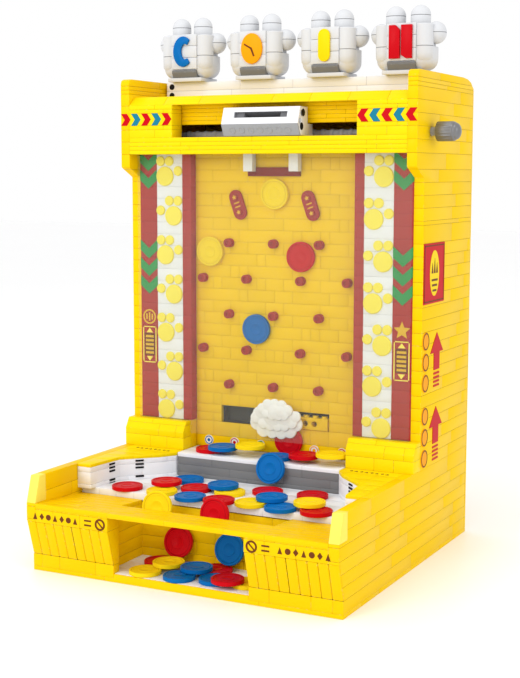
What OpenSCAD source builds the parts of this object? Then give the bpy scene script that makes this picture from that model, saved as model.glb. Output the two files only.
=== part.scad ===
// Desktop coin pusher machine built from brick modules: a low cabinet with a
// sliding pusher shelf and a coin tray, and a tall peg board tower whose coin
// carriage is moved sideways by a knob.
// Millimetres. Origin at the centre of the base on the ground, +X to the
// viewer's right, -Y towards the player, +Z up.

/* [Body] */
// Overall width of the body
machine_w = 256; // [200:1:320]
// Depth of the base
base_d = 256; // [220:1:320]
// Height of the base walls and of the decks
base_h = 73.6; // [66:0.1:92]
// Height of the cabinet tower, without the figures on it
cabinet_h = 374.4; // [320:0.1:460]
// Depth of the cabinet tower
cabinet_d = 112; // [92:1:140]
// Thickness of the side walls
wall = 8; // [6:0.5:10]

/* [Playing parts] */
// Width of the peg board
board_w = 144; // [132:1:176]
// Width of the opening of the coin tray
tray_w = 112; // [90:1:130]
// Depth of the drop slot between playfield and ledge
slot_d = 28; // [26:1:34]
// Depth of the front ledge
ledge_d = 31.6; // [26:0.1:36]
// Diameter of a coin
coin_d = 24; // [18:0.5:26]
// Thickness of a coin
coin_t = 3.2; // [2:0.1:4]
// Diameter of a board peg
peg_d = 7.4; // [5:0.1:9]
// Travel of the pusher shelf
stroke = 31; // [20:1:31]

/* [Carriage and knob] */
// Width of the coin carriage
carriage_w = 66; // [56:1:76]
// Diameter of the lead screw
screw_d = 6.4; // [4:0.1:7]
// Diameter of the knob
knob_d = 15.6; // [12:0.1:20]
// Travel of the carriage each way
carriage_travel = 40; // [20:1:40]

/* [Drive] */
// Tooth module of the gears and the rack
gear_m = 1; // [1:0.05:1.2]
// Diameter of the drive axle
axle_d = 4.8; // [3:0.1:5]

/* [Hidden] */
$fn = 48;
e = 0.01;
hw = machine_w/2;            // half width
iw = hw - wall;              // inner face of the side walls
bw = board_w/2;              // half width of the board
th = tray_w/2;               // half width of the tray opening
sh = th + 8;                 // half width of the drop slot
yf = -base_d/2;
yb = base_d/2;
yc = yb - cabinet_d;         // front of the cabinet tower
ybd = yc + 8;                // front face of the peg board
yh = yc - 16;                // front face of the header
lean = 7.6;                  // how far the front bulges
fz = base_h - 20;            // top front edge of the ledge
pz = base_h - 19.2;          // playfield surface
floor_z = 6.4;               // tray floor surface
yl = yf - lean + ledge_d;    // back edge of the front ledge
yp = yl + slot_d + 1.6;      // front edge of the playfield
hz = cabinet_h - 60.4;       // bottom of the header
rz = hz + 13.2;              // floor of the header recess
rt = hz + 39;                // top of the header recess
sz = base_h + 22.4;          // top of the shoulders
deck_t = 2.4;
pane_y = yc - 4.5;
cw = carriage_w/2;
rw = cw + carriage_travel + 7;   // half width of the header recess
pw = bw - 0.3;               // half width of the pusher shelf
deck_back = yb - 7 - stroke; // rear edge of the pusher shelf
ps = pz + 0.4;               // underside of the pusher
peg_y = ybd - 5.6;           // front of the pegs
row_z = 28.8;                // spacing of the peg rows
row0 = base_h + 54.4;        // lowest peg row
sx = bw/72;                  // spread of the board furniture
kw = hw/128;
gy = yc + 40;                // drive gear axis
rack_p = pz + 10;            // pitch line of the rack
gear_n = 24;
pin_n = 12;
gz = rack_p - gear_n*gear_m/2;
mz = gz - (gear_n + pin_n)*gear_m/2;
scr_y = ybd + 6;             // screw axis
scr_z = hz + 16;
cz0 = rz + 0.4;              // underside of the carriage
screw_end = hw + 14;         // outer end of the lead screw
slot_z0 = base_h + 22;       // window of the cloud slider
slot_z1 = base_h + 36;
slot_w = 48.5*sx;

// colours
yel = [1, 0.86, 0.02];
pale = [1, 0.95, 0.45];
red = [0.82, 0.08, 0.08];
dred = [0.55, 0.1, 0.08];
blu = [0.05, 0.4, 0.75];
wht = [0.95, 0.95, 0.95];
lgr = [0.72, 0.73, 0.74];
dgr = [0.35, 0.37, 0.38];

// a block given by its low and high corners
module block(a, b) {
  translate(a) cube([b[0] - a[0], b[1] - a[1], b[2] - a[2]]);
}
// a Y-Z outline carried from x0 to x1
module side_shape(x0, x1, pts) {
  translate([x0, 0, 0]) rotate([90, 0, 90]) linear_extrude(x1 - x0) polygon(pts);
}
// a copy on each side
module both() {
  children();
  mirror([1, 0, 0]) children();
}
// a round piece along Y from y0 to y1
module disc_y(x, z, r, y0, y1) {
  translate([x, y1, z]) rotate([90, 0, 0]) cylinder(r = r, h = y1 - y0);
}
// a round piece along X from x0 to x1
module disc_x(y, z, r, x0, x1) {
  translate([x0, y, z]) rotate([0, 90, 0]) cylinder(r = r, h = x1 - x0);
}

// ---- base ----
module base_plate() {
  color(yel) union() {
    block([-hw, yf, 0], [hw, yb, 3.2]);
    block([-th + 0.1, yf, 3.2 - e], [th - 0.1, yf + 1.6, floor_z - 0.2]);
  }
}

// outline shared by the base walls and the front panels, without the ribs
function front_line(top) = [[yf, 3.2], [yf, 12.8], [yf + 1.6, 12.8],
  [yf + 1.6 - lean, fz - 14], [yf - lean, fz - 14], [yf - lean, top]];

module base_wall() {
  side_shape(iw, hw, concat(front_line(fz),
    [[yf + 6.4, fz], [yf + 6.4, base_h], [yb - 3.2, base_h], [yb - 3.2, 3.2]]));
}
module base_walls() { color(yel) both() base_wall(); }

module corner_slopes() {
  color(pale) both() side_shape(iw, hw, [[yf - lean, fz],
    [yf - 1.6, base_h], [yf + 6.4, base_h], [yf + 6.4, fz]]);
}

module front_panels() {
  color(yel) both() side_shape(th, iw, concat(front_line(fz - 3.6),
    [[yf + 8, lz(yf + 8) - 3.6], [yf + 8, 3.2]]));
}

rib_n = round((hw - th)/8);
rib_p = (hw - th)/rib_n;
module rib_tiles() {
  color(yel) both() for (i = [0 : rib_n - 1])
    side_shape(th + i*rib_p + 0.1, th + (i + 1)*rib_p - 0.1,
      [[yf, 12.8], [yf - lean, fz - 14], [yf + 1.6 - lean, fz - 14], [yf + 1.6, 12.8]]);
}

module front_discs() {
  color([0.5, 0.25, 0.15]) both()
    disc_y(th + 6.2, fz - 9.4, 4.4, yf - lean - 0.5, yf - lean);
}

module tray_floor() {
  color(wht) union() {
    block([-th, yf + 1.6, 3.2], [th, yf + 8 + e, floor_z]);
    block([-sh, yf + 8, 3.2], [sh, yp - 0.4, floor_z]);
  }
}

// two side walls and the back wall of the tray
module tray_walls() {
  color(yel) union() {
    both() side_shape(sh, sh + 3.2, [[yf + 8, 3.2], [yf + 8, lz(yf + 8) - 3.7],
      [yp - 0.4, lz(yp) - 3.7], [yp - 0.4, 3.2]]);
    block([-sh - 3.2, yp - 0.4, 3.2], [sh + 3.2, yp + 3, pz - 6.4]);
  }
}

// tiled shelf in front of the drop slot, falling towards the back
function lz(y) = fz - (y - (yf - lean))*0.065;
module ledge_part(x0, x1, y0, y1) {
  side_shape(x0, x1, [[y0, lz(y0) - 3.6], [y0, lz(y0)], [y1, lz(y1)], [y1, lz(y1) - 3.6]]);
}
module ledge() {
  color(yel) union() {
    ledge_part(-iw, iw, yf - lean, yl);
    both() ledge_part(sh, iw, yl - e, yp - 0.4);
  }
}

module playfield() {
  color(wht) union() {
    block([-iw, yp, pz - 3.2], [iw, ybd, pz]);
    block([-iw, yp, pz - 5.6], [iw, yp + 3, pz - 3.2 + e]);
  }
}

// inner line of the funnel, right side
fun = [[iw, yc - 96], [iw - 12, yc - 96], [iw - 16, yc - 61], [iw - 24, yc - 53],
  [bw + 8, yc - 37.6], [bw + 0.3, yc - 26]];
fun_out = [[bw + 4.3, yc - 24], [bw + 10.5, yc - 34], [iw - 21.5, yc - 50],
  [iw - 12, yc - 59], [iw - 8, yc - 92], [iw, yc - 92]];
module funnel_walls() {
  color(wht) both() translate([0, 0, pz]) linear_extrude(base_h - deck_t - pz)
    polygon(concat(fun, [[bw + 0.3, yc], [bw + 4.3, yc]], fun_out));
}
module side_decks() {
  color(yel) both() translate([0, 0, base_h - deck_t]) linear_extrude(deck_t)
    polygon(concat(fun, [[bw + 0.3, yc], [iw, yc]]));
}
module shoulders() {
  color(yel) both() side_shape(bw + 0.3, hw, [[yc - 14, base_h], [yc - 14, sz - 8],
    [yc - 9, sz], [yc, sz], [yc, base_h]]);
}

// ---- cabinet tower ----
function tower_line() = [[yc, base_h], [yc, hz - 18.4], [yh + 1, hz - 11],
  [yh, hz - 10], [yh, cabinet_h - 4], [yh + 1.2, cabinet_h - 1.2],
  [yh + 4, cabinet_h], [yb - 26, cabinet_h], [yb - 15, cabinet_h - 0.8],
  [yb - 7, cabinet_h - 3], [yb, cabinet_h - 8], [yb, base_h]];
module cabinet_wall_left() {
  color(yel) difference() {
    side_shape(-hw, -iw, tower_line());
    disc_x(scr_y, scr_z, screw_d/2 + 0.05, -iw - wall/2 - 1, -iw + 1);
  }
}
module cabinet_wall_right() {
  color(yel) difference() {
    side_shape(iw, hw, tower_line());
    disc_x(scr_y, scr_z, screw_d/2 + 0.05, iw - 1, hw + 1);
  }
}
module rear_cover() {
  color(yel) difference() {
    union() {
      block([-iw, yb - 3.2, 3.2], [iw, yb, cabinet_h - 12]);
      both() block([iw - e, yb - 3.2, 3.2], [hw, yb, base_h]);
    }
    block([-iw + 12, yb - 4, 9.6], [-iw + 76, yb + 1, 38.4]);
  }
}
module roof_panel() {
  color(yel) block([-iw, yh + 16, rt + 3.2], [iw, yb - 3.2, rt + 6.4]);
}
module roof_tray() {
  color(wht) union() {
    block([-iw + 2.6, yc + 40.4, rt + 6.4], [iw - 2.6, yc + 78, cabinet_h - 7]);
    block([-iw + 2.2, yc + 40, cabinet_h - 7 - e], [iw - 2.2, yc + 82, cabinet_h]);
  }
}

paw_y = yc + 45;
paw_face = 14;               // from the middle of a figure to its sign plate
// a raised paw: palm, sign plate, two upper toes and two side toes
module paw_figure() {
  z0 = cabinet_h;
  union() {
    block([-16, -13, z0], [16, 14, z0 + 3.2]);
    hull() for (s = [-1, 1]) {
      translate([s*11, 1, z0 + 13]) sphere(r = 11, $fn = 20);
      translate([s*13, 1, z0 + 27]) scale([1, 1.1, 1]) sphere(r = 11, $fn = 20);
    }
    block([-12, -paw_face, z0 + 10], [12, 0, z0 + 38.6]);
    for (s = [-1, 1]) {
      translate([s*10.2, 1, z0 + 30]) cylinder(r = 7.8, h = 15.5);
      translate([s*10.2, 1, z0 + 45.5]) sphere(r = 7.8);
      translate([s*22.6, 2, z0 + 31.5]) sphere(r = 8.2);
    }
  }
}
paw_p = 64*kw;
module paw_figures() {
  color(wht) for (i = [-1.5 : 1 : 1.5]) translate([i*paw_p, paw_y, 0]) paw_figure();
}
// flat coloured signs on the chests: a crescent, a disc, a bar and two bars
module sign_shape(i) {
  if (i == 0) difference() { circle(r = 11); translate([5, 0]) circle(r = 6.5);
    translate([5, -4]) square([12, 8]); }
  if (i == 1) scale([0.72, 1]) circle(r = 12);
  if (i == 2) hull() for (s = [-1, 1]) translate([0, s*7]) circle(r = 5);
  if (i == 3) for (s = [-1, 1]) translate([s*4.6 - 4, -12]) square([8, 24]);
}
module paw_signs() {
  color(blu) for (i = [0 : 3])
    translate([(i - 1.5)*paw_p, paw_y - paw_face, cabinet_h + 24.6]) rotate([90, 0, 0])
      linear_extrude(2.4) sign_shape(i);
}

// ---- header ----
module header_lower() {
  color(yel) block([-iw, yh, hz], [iw, yh + 15.6, rz]);
}
module header_blocks() {
  color(yel) both() block([rw, yh, rz], [iw, yh + 16, rt]);
}
module header_back() {
  color(yel) block([-rw, yh + 16, rz + 10.4], [rw, yh + 19, rt]);
}
module header_top() {
  color(yel) side_shape(-iw, iw, [[yh, rt], [yh + 8, rt + 7], [yh + 16, rt + 7],
    [yh + 16, rt + 3.2], [yh + 24, rt + 3.2], [yh + 24, rt]]);
}
module chevron() {
  polygon([[0, 0], [5.6, 0], [9, 4.8], [5.6, 9.6], [0, 9.6], [3.4, 4.8]]);
}
chev_p = (hw - rw)/5;
module chevrons() {
  color(red) both() for (i = [0 : 4])
    translate([-hw + 0.3 + i*chev_p, yh, hz + 23]) rotate([90, 0, 0])
      linear_extrude(0.6) scale([min(1, chev_p/9.6), 1]) chevron();
}

// ---- peg board ----
module peg_board() {
  color(yel) difference() {
    block([-bw, ybd, base_h + 0.5], [bw, ybd + 4, hz + 6]);
    block([-slot_w, ybd - 1, slot_z0], [slot_w, ybd + 5, slot_z1]);
    for (p = peg_at) disc_y(p[0], p[1], 2.4, ybd - 1, ybd + 5);
  }
}
peg_at = concat(
  [for (j = [0, 2, 4]) for (x = [-40, 0, 40]) [x*sx, row0 + j*row_z]],
  [for (j = [1, 3]) for (x = [-64, -24, 24, 64]) [x*sx, row0 + j*row_z]]);
module board_pegs() {
  color(red) for (p = peg_at) union() {
    disc_y(p[0], p[1], peg_d/2, peg_y, ybd);
    disc_y(p[0], p[1], 2.38, ybd - e, ybd + 3.8);
  }
}
module bumpers() {
  color(red) for (s = [-1, 1])
    translate([s*32*sx, ybd, row0 + 4*row_z + 30.6]) rotate([90, 19, 0])
      linear_extrude(3.2) hull() for (k = [-1, 1]) translate([0, k*6.4]) circle(r = 5.6);
}
module red_panels() {
  color(red) both() {
    block([iw - 16, yc, sz + 0.2], [iw, yc + 3.2, hz + 6]);
    block([bw, yc, sz + 0.2], [bw + 8, yc + 3.2, hz + 6]);
    block([bw, yc + 3.2 - e, sz + 0.2], [bw + 3.2, ybd + 4, hz + 6]);
  }
}
module white_panels() {
  color(wht) both() block([bw + 8, yc, sz + 0.2], [iw - 16, yc + 3.2, hz + 6]);
}
wx = (bw + 8 + iw - 16)/2;   // middle of the white panel
print_p = (hz - sz)/6.8;
module paw_print(s) {
  disc_y(0, 0, 7.9, yc - 1.6, yc);
  disc_y(-4.1, 12.2, 3.95, yc - 1.6, yc);
  disc_y(4.1, 12.2, 3.95, yc - 1.6, yc);
  disc_y(s*12.3, 4.3, 3.95, yc - 1.6, yc);
}
module paw_prints() {
  color(yel) both() for (k = [0 : 6])
    translate([wx + (k % 2 == 0 ? 4 : -4), 0, hz - 17.6 - k*print_p])
      paw_print(k % 2 == 0 ? -1 : 1);
}
pane_t = 2;
pane_foot = base_h + 12.8;   // bottom edge of the pane in front of the board
module window_pane() {
  color([0.9, 0.95, 1, 0.25]) translate([0, pane_y + pane_t, 0]) rotate([90, 0, 0])
    linear_extrude(pane_t) polygon([[-iw, sz + 0.2], [-iw, hz], [iw, hz],
      [iw, sz + 0.2], [bw - 0.5, sz + 0.2], [bw - 0.5, pane_foot],
      [-bw + 0.5, pane_foot], [-bw + 0.5, sz + 0.2]]);
}
// side walls of the pusher channel and the shelves it runs on
module pusher_guides() {
  color(yel) both() union() {
    block([bw + 0.3, yc, pz], [bw + 4.3, yb - 3.2, base_h]);
    block([bw - 10, ybd, pz - 3.2], [iw, yb - 3.2, pz + e]);
  }
}
module slider_guide() {
  color(yel) union() {
    block([-slot_w - 4, ybd + 4, slot_z0 - 4], [slot_w + 4, ybd + 14, slot_z0]);
    block([-slot_w - 4, ybd + 4, slot_z1], [slot_w + 4, ybd + 14, slot_z1 + 4]);
    both() block([slot_w, ybd + 4, slot_z0 - e], [slot_w + 4, ybd + 14, slot_z1 + e]);
    block([-slot_w - 4, ybd + 12, slot_z0 - 4], [slot_w + 4, ybd + 14, slot_z1 + 4]);
  }
}
module number_tiles() {
  color(wht) for (x = [-60, -36, -12, 12, 36, 60])
    disc_y(x*sx, base_h + 6, 4, ybd - 1, ybd);
}

// ---- printed pieces on the right side ----
module side_graphics() {
  color(red) translate([hw, 0, 0]) rotate([90, 0, 90]) linear_extrude(0.6) {
    translate([yc + 1, 200.4]) square([46, 46]);
    for (z = [177, 119]) translate([yc + 33, z]) {
      polygon([[0, 0], [14.4, -15.5], [-14.4, -15.5]]);
      translate([-6.4, -29]) square([12.8, 13.6]);
      for (k = [0 : 3]) translate([-6.4, -32 - 3*k]) square([12.8, 1.6]);
    }
  }
}
module side_rings() {
  color([0.9, 0.5, 0.1]) for (z = [172.3, 156.2, 140.1, 114.6, 98.2, 81.8])
    disc_x(yc + 8, z, 7, hw, hw + 0.6);
}

// ---- drive ----
// involute tooth outline, standard 20 degree system, teeth thinned by bl
function inv_pt(rb, t) = [rb*(cos(t) + t*PI/180*sin(t)), rb*(sin(t) - t*PI/180*cos(t))];
function rot2(p, a) = [p[0]*cos(a) - p[1]*sin(a), p[0]*sin(a) + p[1]*cos(a)];
function inv_deg(a) = tan(a)*180/PI - a;
module gear2d(n, m, bl = 0.24) {
  rp = n*m/2; rb = rp*cos(20); ra = rp + m*0.96; rr = rp - 1.25*m;
  half = 90/n - bl/2/rp*180/PI + inv_deg(20);   // half tooth angle at the base
  tmax = sqrt(pow(ra/rb, 2) - 1)*180/PI;
  t0 = rr > rb ? sqrt(pow(rr/rb, 2) - 1)*180/PI : 0;
  k = 5;
  flank = [for (i = [0 : k]) rot2(inv_pt(rb, t0 + (tmax - t0)*i/k), -half)];
  tooth = concat(rr < rb ? [rot2([rr, 0], -half)] : [], flank);
  back = [for (i = [len(tooth) - 1 : -1 : 0]) [tooth[i][0], -tooth[i][1]]];
  polygon([for (j = [0 : n - 1]) for (p = concat(tooth, back)) rot2(p, 360/n*j)]);
}
rack_pitch = PI*gear_m;
rack_back = ceil((stroke + 8)/rack_pitch);   // teeth that pass the gear
module pusher_rack() {
  h1 = 0.96*gear_m;
  h2 = 1.25*gear_m;
  w = rack_pitch/4 - 0.06;
  y0 = gy - rack_back*rack_pitch;
  y1 = gy + 3*rack_pitch;
  color(lgr) side_shape(-6, 6, concat([[y0, base_h - 3.2], [y0, rack_p + h2]],
    [for (j = [-rack_back : 2]) for (q = [[-w - h2*tan(20), h2], [-w + h1*tan(20), -h1],
      [w - h1*tan(20), -h1], [w + h2*tan(20), h2]])
      [gy + (j + 0.5)*rack_pitch + q[0], rack_p + q[1]]],
    [[y1, rack_p + h2], [y1, base_h - 3.2]]));
}
module pusher_deck() {
  color(wht) block([-pw, yc - 24, base_h - 3.2], [pw, deck_back, base_h]);
}
module pusher_riser() {
  color(dgr) union() {
    block([-pw, yc - 24, ps], [pw, yc - 20.8, base_h - 3.2]);
    both() block([pw - 3.2, yc - 20.8 - e, ps], [pw, deck_back, base_h - 3.2]);
  }
}
module drive_frame() {
  color(lgr) union() {
    difference() {
      both() block([14, gy - 8, 3.2], [22, gy + 8, gz + 8]);
      disc_x(gy, gz, axle_d/2 + 0.05, -23, 23);
      disc_x(gy, mz, 1.65, -23, 23);
    }
    block([26, gy - 12, 3.2], [66, gy + 12, mz - 12]);
  }
}
module drive_axle() {
  color(dgr) union() {
    disc_x(gy, gz, axle_d/2, -25, 25);
    both() disc_x(gy, gz, axle_d/2 + 2, 22.2, 25);
  }
}
module drive_gear() {
  color(lgr) translate([0, gy, gz]) rotate([90, 0, 90]) difference() {
    union() {
      translate([0, 0, -4]) linear_extrude(8) rotate(90) gear2d(gear_n, gear_m);
      translate([0, 0, -12]) cylinder(r = axle_d/2 + 1.8, h = 24);
    }
    translate([0, 0, -13]) cylinder(r = axle_d/2, h = 26);
  }
}
module motor_gear() {
  color(dgr) union() {
    translate([-3.5, gy, mz]) rotate([90, 0, 90])
      linear_extrude(7) rotate(90 + 180/pin_n) gear2d(pin_n, gear_m);
    disc_x(gy, mz, 1.6, -6, 34);
  }
}
module motor_body() {
  color(lgr) difference() {
    union() {
      block([26.2, gy - 12, mz - 12], [66, gy + 12, mz + 12]);
      disc_x(gy, mz, 4, 24, 26.3);
    }
    disc_x(gy, mz, 1.65, 20, 36);
  }
}
module battery_box() {
  color(dgr) difference() {
    block([-iw + 8, yb - 68, 3.2], [-iw + 80, yb - 3.4, 44]);
    block([-iw + 10, yb - 66, 5.2], [-iw + 78, yb - 3, 42]);
  }
}
module battery_lid() {
  color(dgr) block([-iw + 12.3, yb - 3, 9.9], [-iw + 75.7, yb - 0.6, 38.1]);
}

// ---- coin carriage ----
module carriage_body() {
  color(wht) difference() {
    side_shape(-cw, cw, [[yh + 2, cz0], [yh - 2.4, cz0 + 9], [yh - 4, cz0 + 9],
      [yh + 0.5, cz0 + 22], [yh + 14.5, cz0 + 22], [yh + 14.5, cz0 + 9.2],
      [ybd - 0.4, cz0 + 9.2], [ybd - 0.4, cz0]]);
    side_shape(-15.5, 15.5, [[yh - 9, cz0 + 14], [yh - 9, cz0 + 18.4],
      [yh + 3, cz0 + 18.4], [ybd - 7.5, cz0 + 8.6], [ybd - 2.4, cz0 - 1],
      [ybd - 8.4, cz0 - 1], [ybd - 12.5, cz0 + 6], [yh + 2, cz0 + 14]]);
    side_shape(-23, 23, [[yh - 9, cz0 + 14], [yh - 9, cz0 + 18.4],
      [yh + 3, cz0 + 18.4], [yh + 1.5, cz0 + 14]]);
    both() for (q = [[yh + 4, 17], [yh + 1, 11]])
      disc_x(q[0], cz0 + q[1], 2.4, cw - 5, cw + 1);
  }
}
module carriage_grille() {
  color(lgr) difference() {
    side_shape(-cw, cw, [[yh + 0.4, cz0], [yh - 4, cz0 + 8.9], [yh - 2.5, cz0 + 8.9], [yh + 1.9, cz0]]);
    for (i = [-3 : 3]) translate([i*8, yh - 1.8, cz0 + 4.5]) rotate([90 - 26, 0, 0])
      translate([0, 0, -0.9]) cylinder(r = 2.5, h = 4);
  }
}
module chute_guides() {
  color(wht) both() block([16, ybd - 8, cz0 - 27.2], [24, ybd - 1.8, cz0]);
}
module drop_bar() {
  color(dred) block([-23, ybd - 1.8, cz0 - 31], [23, ybd - 0.4, cz0 - 24]);
}
module screw_nut() {
  color(lgr) difference() {
    block([-10, ybd - 0.4, scr_z - 6.4], [10, ybd + 12.4, scr_z + 6.4]);
    disc_x(scr_y, scr_z, screw_d/2 + 0.3, -11, 11);
  }
}
// lead screw with raised rings standing for its thread
screw_l = screw_end + iw + wall/2;
module lead_screw() {
  r = screw_d/2;
  rings = floor((2*iw - 20)/8);
  color(lgr) translate([-iw - wall/2, scr_y, scr_z]) rotate([0, 90, 0]) rotate_extrude()
    polygon(concat([[0, 0], [r, 0], [r, wall/2 + 6]],
      [for (i = [0 : rings]) for (q = [[r, 0], [r - 0.7, 1.4], [r - 0.7, 5], [r, 6.4]])
        [q[0], wall/2 + 8 + i*8 + q[1]]],
      [[r, screw_l], [0, screw_l]]));
}
module knob_grip() {
  color(dgr) translate([hw + 5, scr_y, scr_z]) rotate([0, 90, 0]) difference() {
    union() {
      cylinder(r = knob_d/2 - 0.7, h = 12);
      for (i = [0 : 17]) rotate(i*20) translate([knob_d/2 - 1.3, 0, 0])
        cylinder(r = 0.9, h = 12, $fn = 16);
    }
    translate([0, 0, -1]) cylinder(r = screw_d/2, h = 10);
  }
}
module knob_cap() {
  r = knob_d/2;
  color([0.8, 0.8, 0.82]) translate([hw + 17, scr_y, scr_z]) rotate([0, 90, 0]) rotate_extrude()
    polygon([[0, 0], [r - 0.6, 0], [r - 0.6, 1], [r - 1.4, 3], [r - 3.2, 4.8], [r - 5.4, 5.7], [0, 6]]);
}

// ---- cloud on its slider ----
cl_x = 5*sx;
module cloud_slider() {
  s0 = slot_w - 65;
  color(yel) difference() {
    union() {
      block([s0, ybd - 1.1, slot_z0 + 0.4], [slot_w - 1, ybd + 6.9, slot_z0 + 10]);
      for (i = [0 : 7]) translate([s0 + 4 + 8*i, ybd + 2.9, slot_z0 + 10 - e])
        cylinder(r = 2.4, h = 1.7);
    }
    for (x = [12.5, 20.5]) disc_y(slot_w - x, slot_z0 + 5.2, 2.4, ybd - 2, ybd + 8);
  }
}
module cloud_layer(y0, y1, dz, s, pts) {
  for (p = pts) disc_y(p[0]*s + cl_x, slot_z0 + 7 + dz + p[1]*s, p[2]*s, y0, y1);
}
// the lobes of the three layers, from the board outwards: [x, z, radius]
lobes_back = [[0, 0, 11], [-8, 3, 7], [6, 7, 8], [-2, 8, 7.4], [13, 2, 7],
  [-15, -3, 6.4], [18, 2, 5.4], [-8, -8, 6.5], [1, -10, 6.6], [8, -7, 6.6]];
lobes_middle = [[0, 0, 9], [-9, 1, 6], [9, 1, 6], [-4, 5, 6], [5, 5, 6.4],
  [-12, -4, 5], [-4, -6, 5.4], [4, -7, 5.4], [11, -4, 5.4]];
lobes_front = [[1, 2, 7], [-7, 2, 4.6], [8, 3, 5.4], [-3, -2, 4.6], [4, -2, 4.6]];
module cloud() {
  color(wht) union() {
    cloud_layer(ybd - 6.4, ybd - 4.7, 2, 1, lobes_back);
    cloud_layer(ybd - 8.1, ybd - 6.4 + e, -1, 0.9, lobes_middle);
    cloud_layer(ybd - 9.7, ybd - 8.1 + e, 0, 0.8, lobes_front);
    block([cl_x - 4, ybd - 4.7 - e, slot_z0 + 2], [cl_x + 4, ybd - 1.1, slot_z0 + 9]);
  }
}

// ---- loose coins ----
coin_r = coin_d/2;
// the height of a flat coin that lands on the ones listed before it
function land(l, i, z0) = max(concat([z0 + 0.05],
  [for (j = [0 : 1 : i - 1]) if (norm([l[i][0] - l[j][0], l[i][1] - l[j][1]]) < coin_d + 0.1)
    land(l, j, z0) + coin_t + 0.05]));
module pile(l, z0, c) {
  for (i = [0 : len(l) - 1]) if (l[i][2] == c)
    translate([l[i][0], l[i][1], land(l, i, z0)]) coin();
}
module coin() {
  difference() {
    cylinder(r = coin_r, h = coin_t);
    translate([0, 0, coin_t - 0.5]) cylinder(r = coin_r - 1.6, h = 1);
    translate([0, 0, -0.5]) cylinder(r = coin_r - 1.6, h = 1);
  }
}
module lean_coin(p, ax) { translate(p) rotate(ax) translate([0, 0, -coin_t/2]) coin(); }
// [x, y, colour], colour 0 red, 1 blue, 2 yellow; later ones lie on earlier ones
// the funnel's inner half width at y, and a coin's x kept inside it
function fun_x(y) = lookup(y, [for (i = [1 : 5]) [fun[i][1], fun[i][0]]]);
function fit_x(x, y) = sign(x)*min(abs(x)*sx,
  min(fun_x(y - coin_r), fun_x(y), fun_x(y + coin_r)) - coin_r - 0.6);
field_coins = [for (q = [[-83, -66, 0], [-51, -67, 2], [-52, -24, 1], [-32, -47, 0],
  [-22.5, -73, 1], [2, -72.5, 0], [-3, -46, 2], [27, -69, 2], [22, -31, 0], [58, -27, 0],
  [53, -72, 1], [81, -70, 0], [-57, -50, 0], [-12, -40, 1], [39, -58, 1], [71, -60, 2]])
  [fit_x(q[0], yp + 74.4 + q[1]), yp + 74.4 + q[1], q[2]]];
deck_coins = [for (q = [[-50, 8, 0], [-37, 5, 1], [-13, 7, 2], [11.5, 5, 1], [35, 6, 0], [59, 5, 2]])
  [q[0]*sx, yc - 16 + q[1], q[2]]];
tray_coins = [for (q = [[-39, -90, 0], [-36, -116, 2], [-7, -116, 1], [9, -89, 0], [20, -111, 1],
  [45, -108, 2], [-26, -99, 2], [-1, -101, 1], [33, -116, 0]])
  [q[0]*th/56, yp + 74.4 + q[1], q[2]]];
module loose(c) {
  pile(field_coins, pz, c);
  pile(deck_coins, base_h, c);
  pile(tray_coins, floor_z, c);
}
slot_y = (yl + yp)/2;
module coins_red() {
  color(red) {
    loose(0);
    lean_coin([14.4*sx, ybd - 2.9, base_h + coin_r + 0.05], [90, 0, 0]);
    lean_coin([24*sx, ybd - 2, row0 + 4*row_z - 9.6], [90, 0, 0]);
    lean_coin([11, slot_y - 6, fz - 2], [82, 0, -4]);
    lean_coin([-29, yp - 5.2, floor_z + coin_r + 3.5], [76, 0, 0]);
  }
}
module coins_blue() {
  color(blu) {
    loose(1);
    lean_coin([-15.3*sx, ybd - 2, row0 + 2*row_z - 11.2], [90, 0, 0]);
    lean_coin([15, yp - 5.2, floor_z + coin_r + 3.5], [76, 0, 0]);
    lean_coin([15*sx, yc - 24 - 4.6, pz + coin_r + 3.5], [76, 0, 0]);
  }
}
module coins_yellow() {
  color(yel) {
    loose(2);
    lean_coin([0.9, ybd - 2, row0 + 4*row_z + 39.4], [90, 0, 0]);
    lean_coin([-57.6*sx, ybd - 2, row0 + 4*row_z - 7.3], [90, 0, 0]);
    lean_coin([-38, slot_y - 6, fz - 2], [82, 0, 5]);
  }
}

base_plate();
base_walls();
corner_slopes();
front_panels();
rib_tiles();
front_discs();
tray_floor();
tray_walls();
ledge();
playfield();
funnel_walls();
side_decks();
shoulders();
cabinet_wall_left();
cabinet_wall_right();
rear_cover();
roof_panel();
roof_tray();
paw_figures();
paw_signs();
header_lower();
header_blocks();
header_back();
header_top();
chevrons();
peg_board();
board_pegs();
bumpers();
red_panels();
white_panels();
paw_prints();
window_pane();
pusher_guides();
slider_guide();
number_tiles();
side_graphics();
side_rings();
drive_frame();
motor_body();
battery_box();
battery_lid();
pusher_deck();
pusher_riser();
pusher_rack();
drive_axle();
drive_gear();
motor_gear();
carriage_body();
carriage_grille();
chute_guides();
drop_bar();
screw_nut();
lead_screw();
knob_grip();
knob_cap();
cloud();
cloud_slider();
coins_red();
coins_blue();
coins_yellow();
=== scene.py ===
"""A desktop coin pusher machine built from toy bricks, from its base up to its figures."""
import math
import random

import bmesh
import bpy
from mathutils import Matrix, Vector


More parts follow.
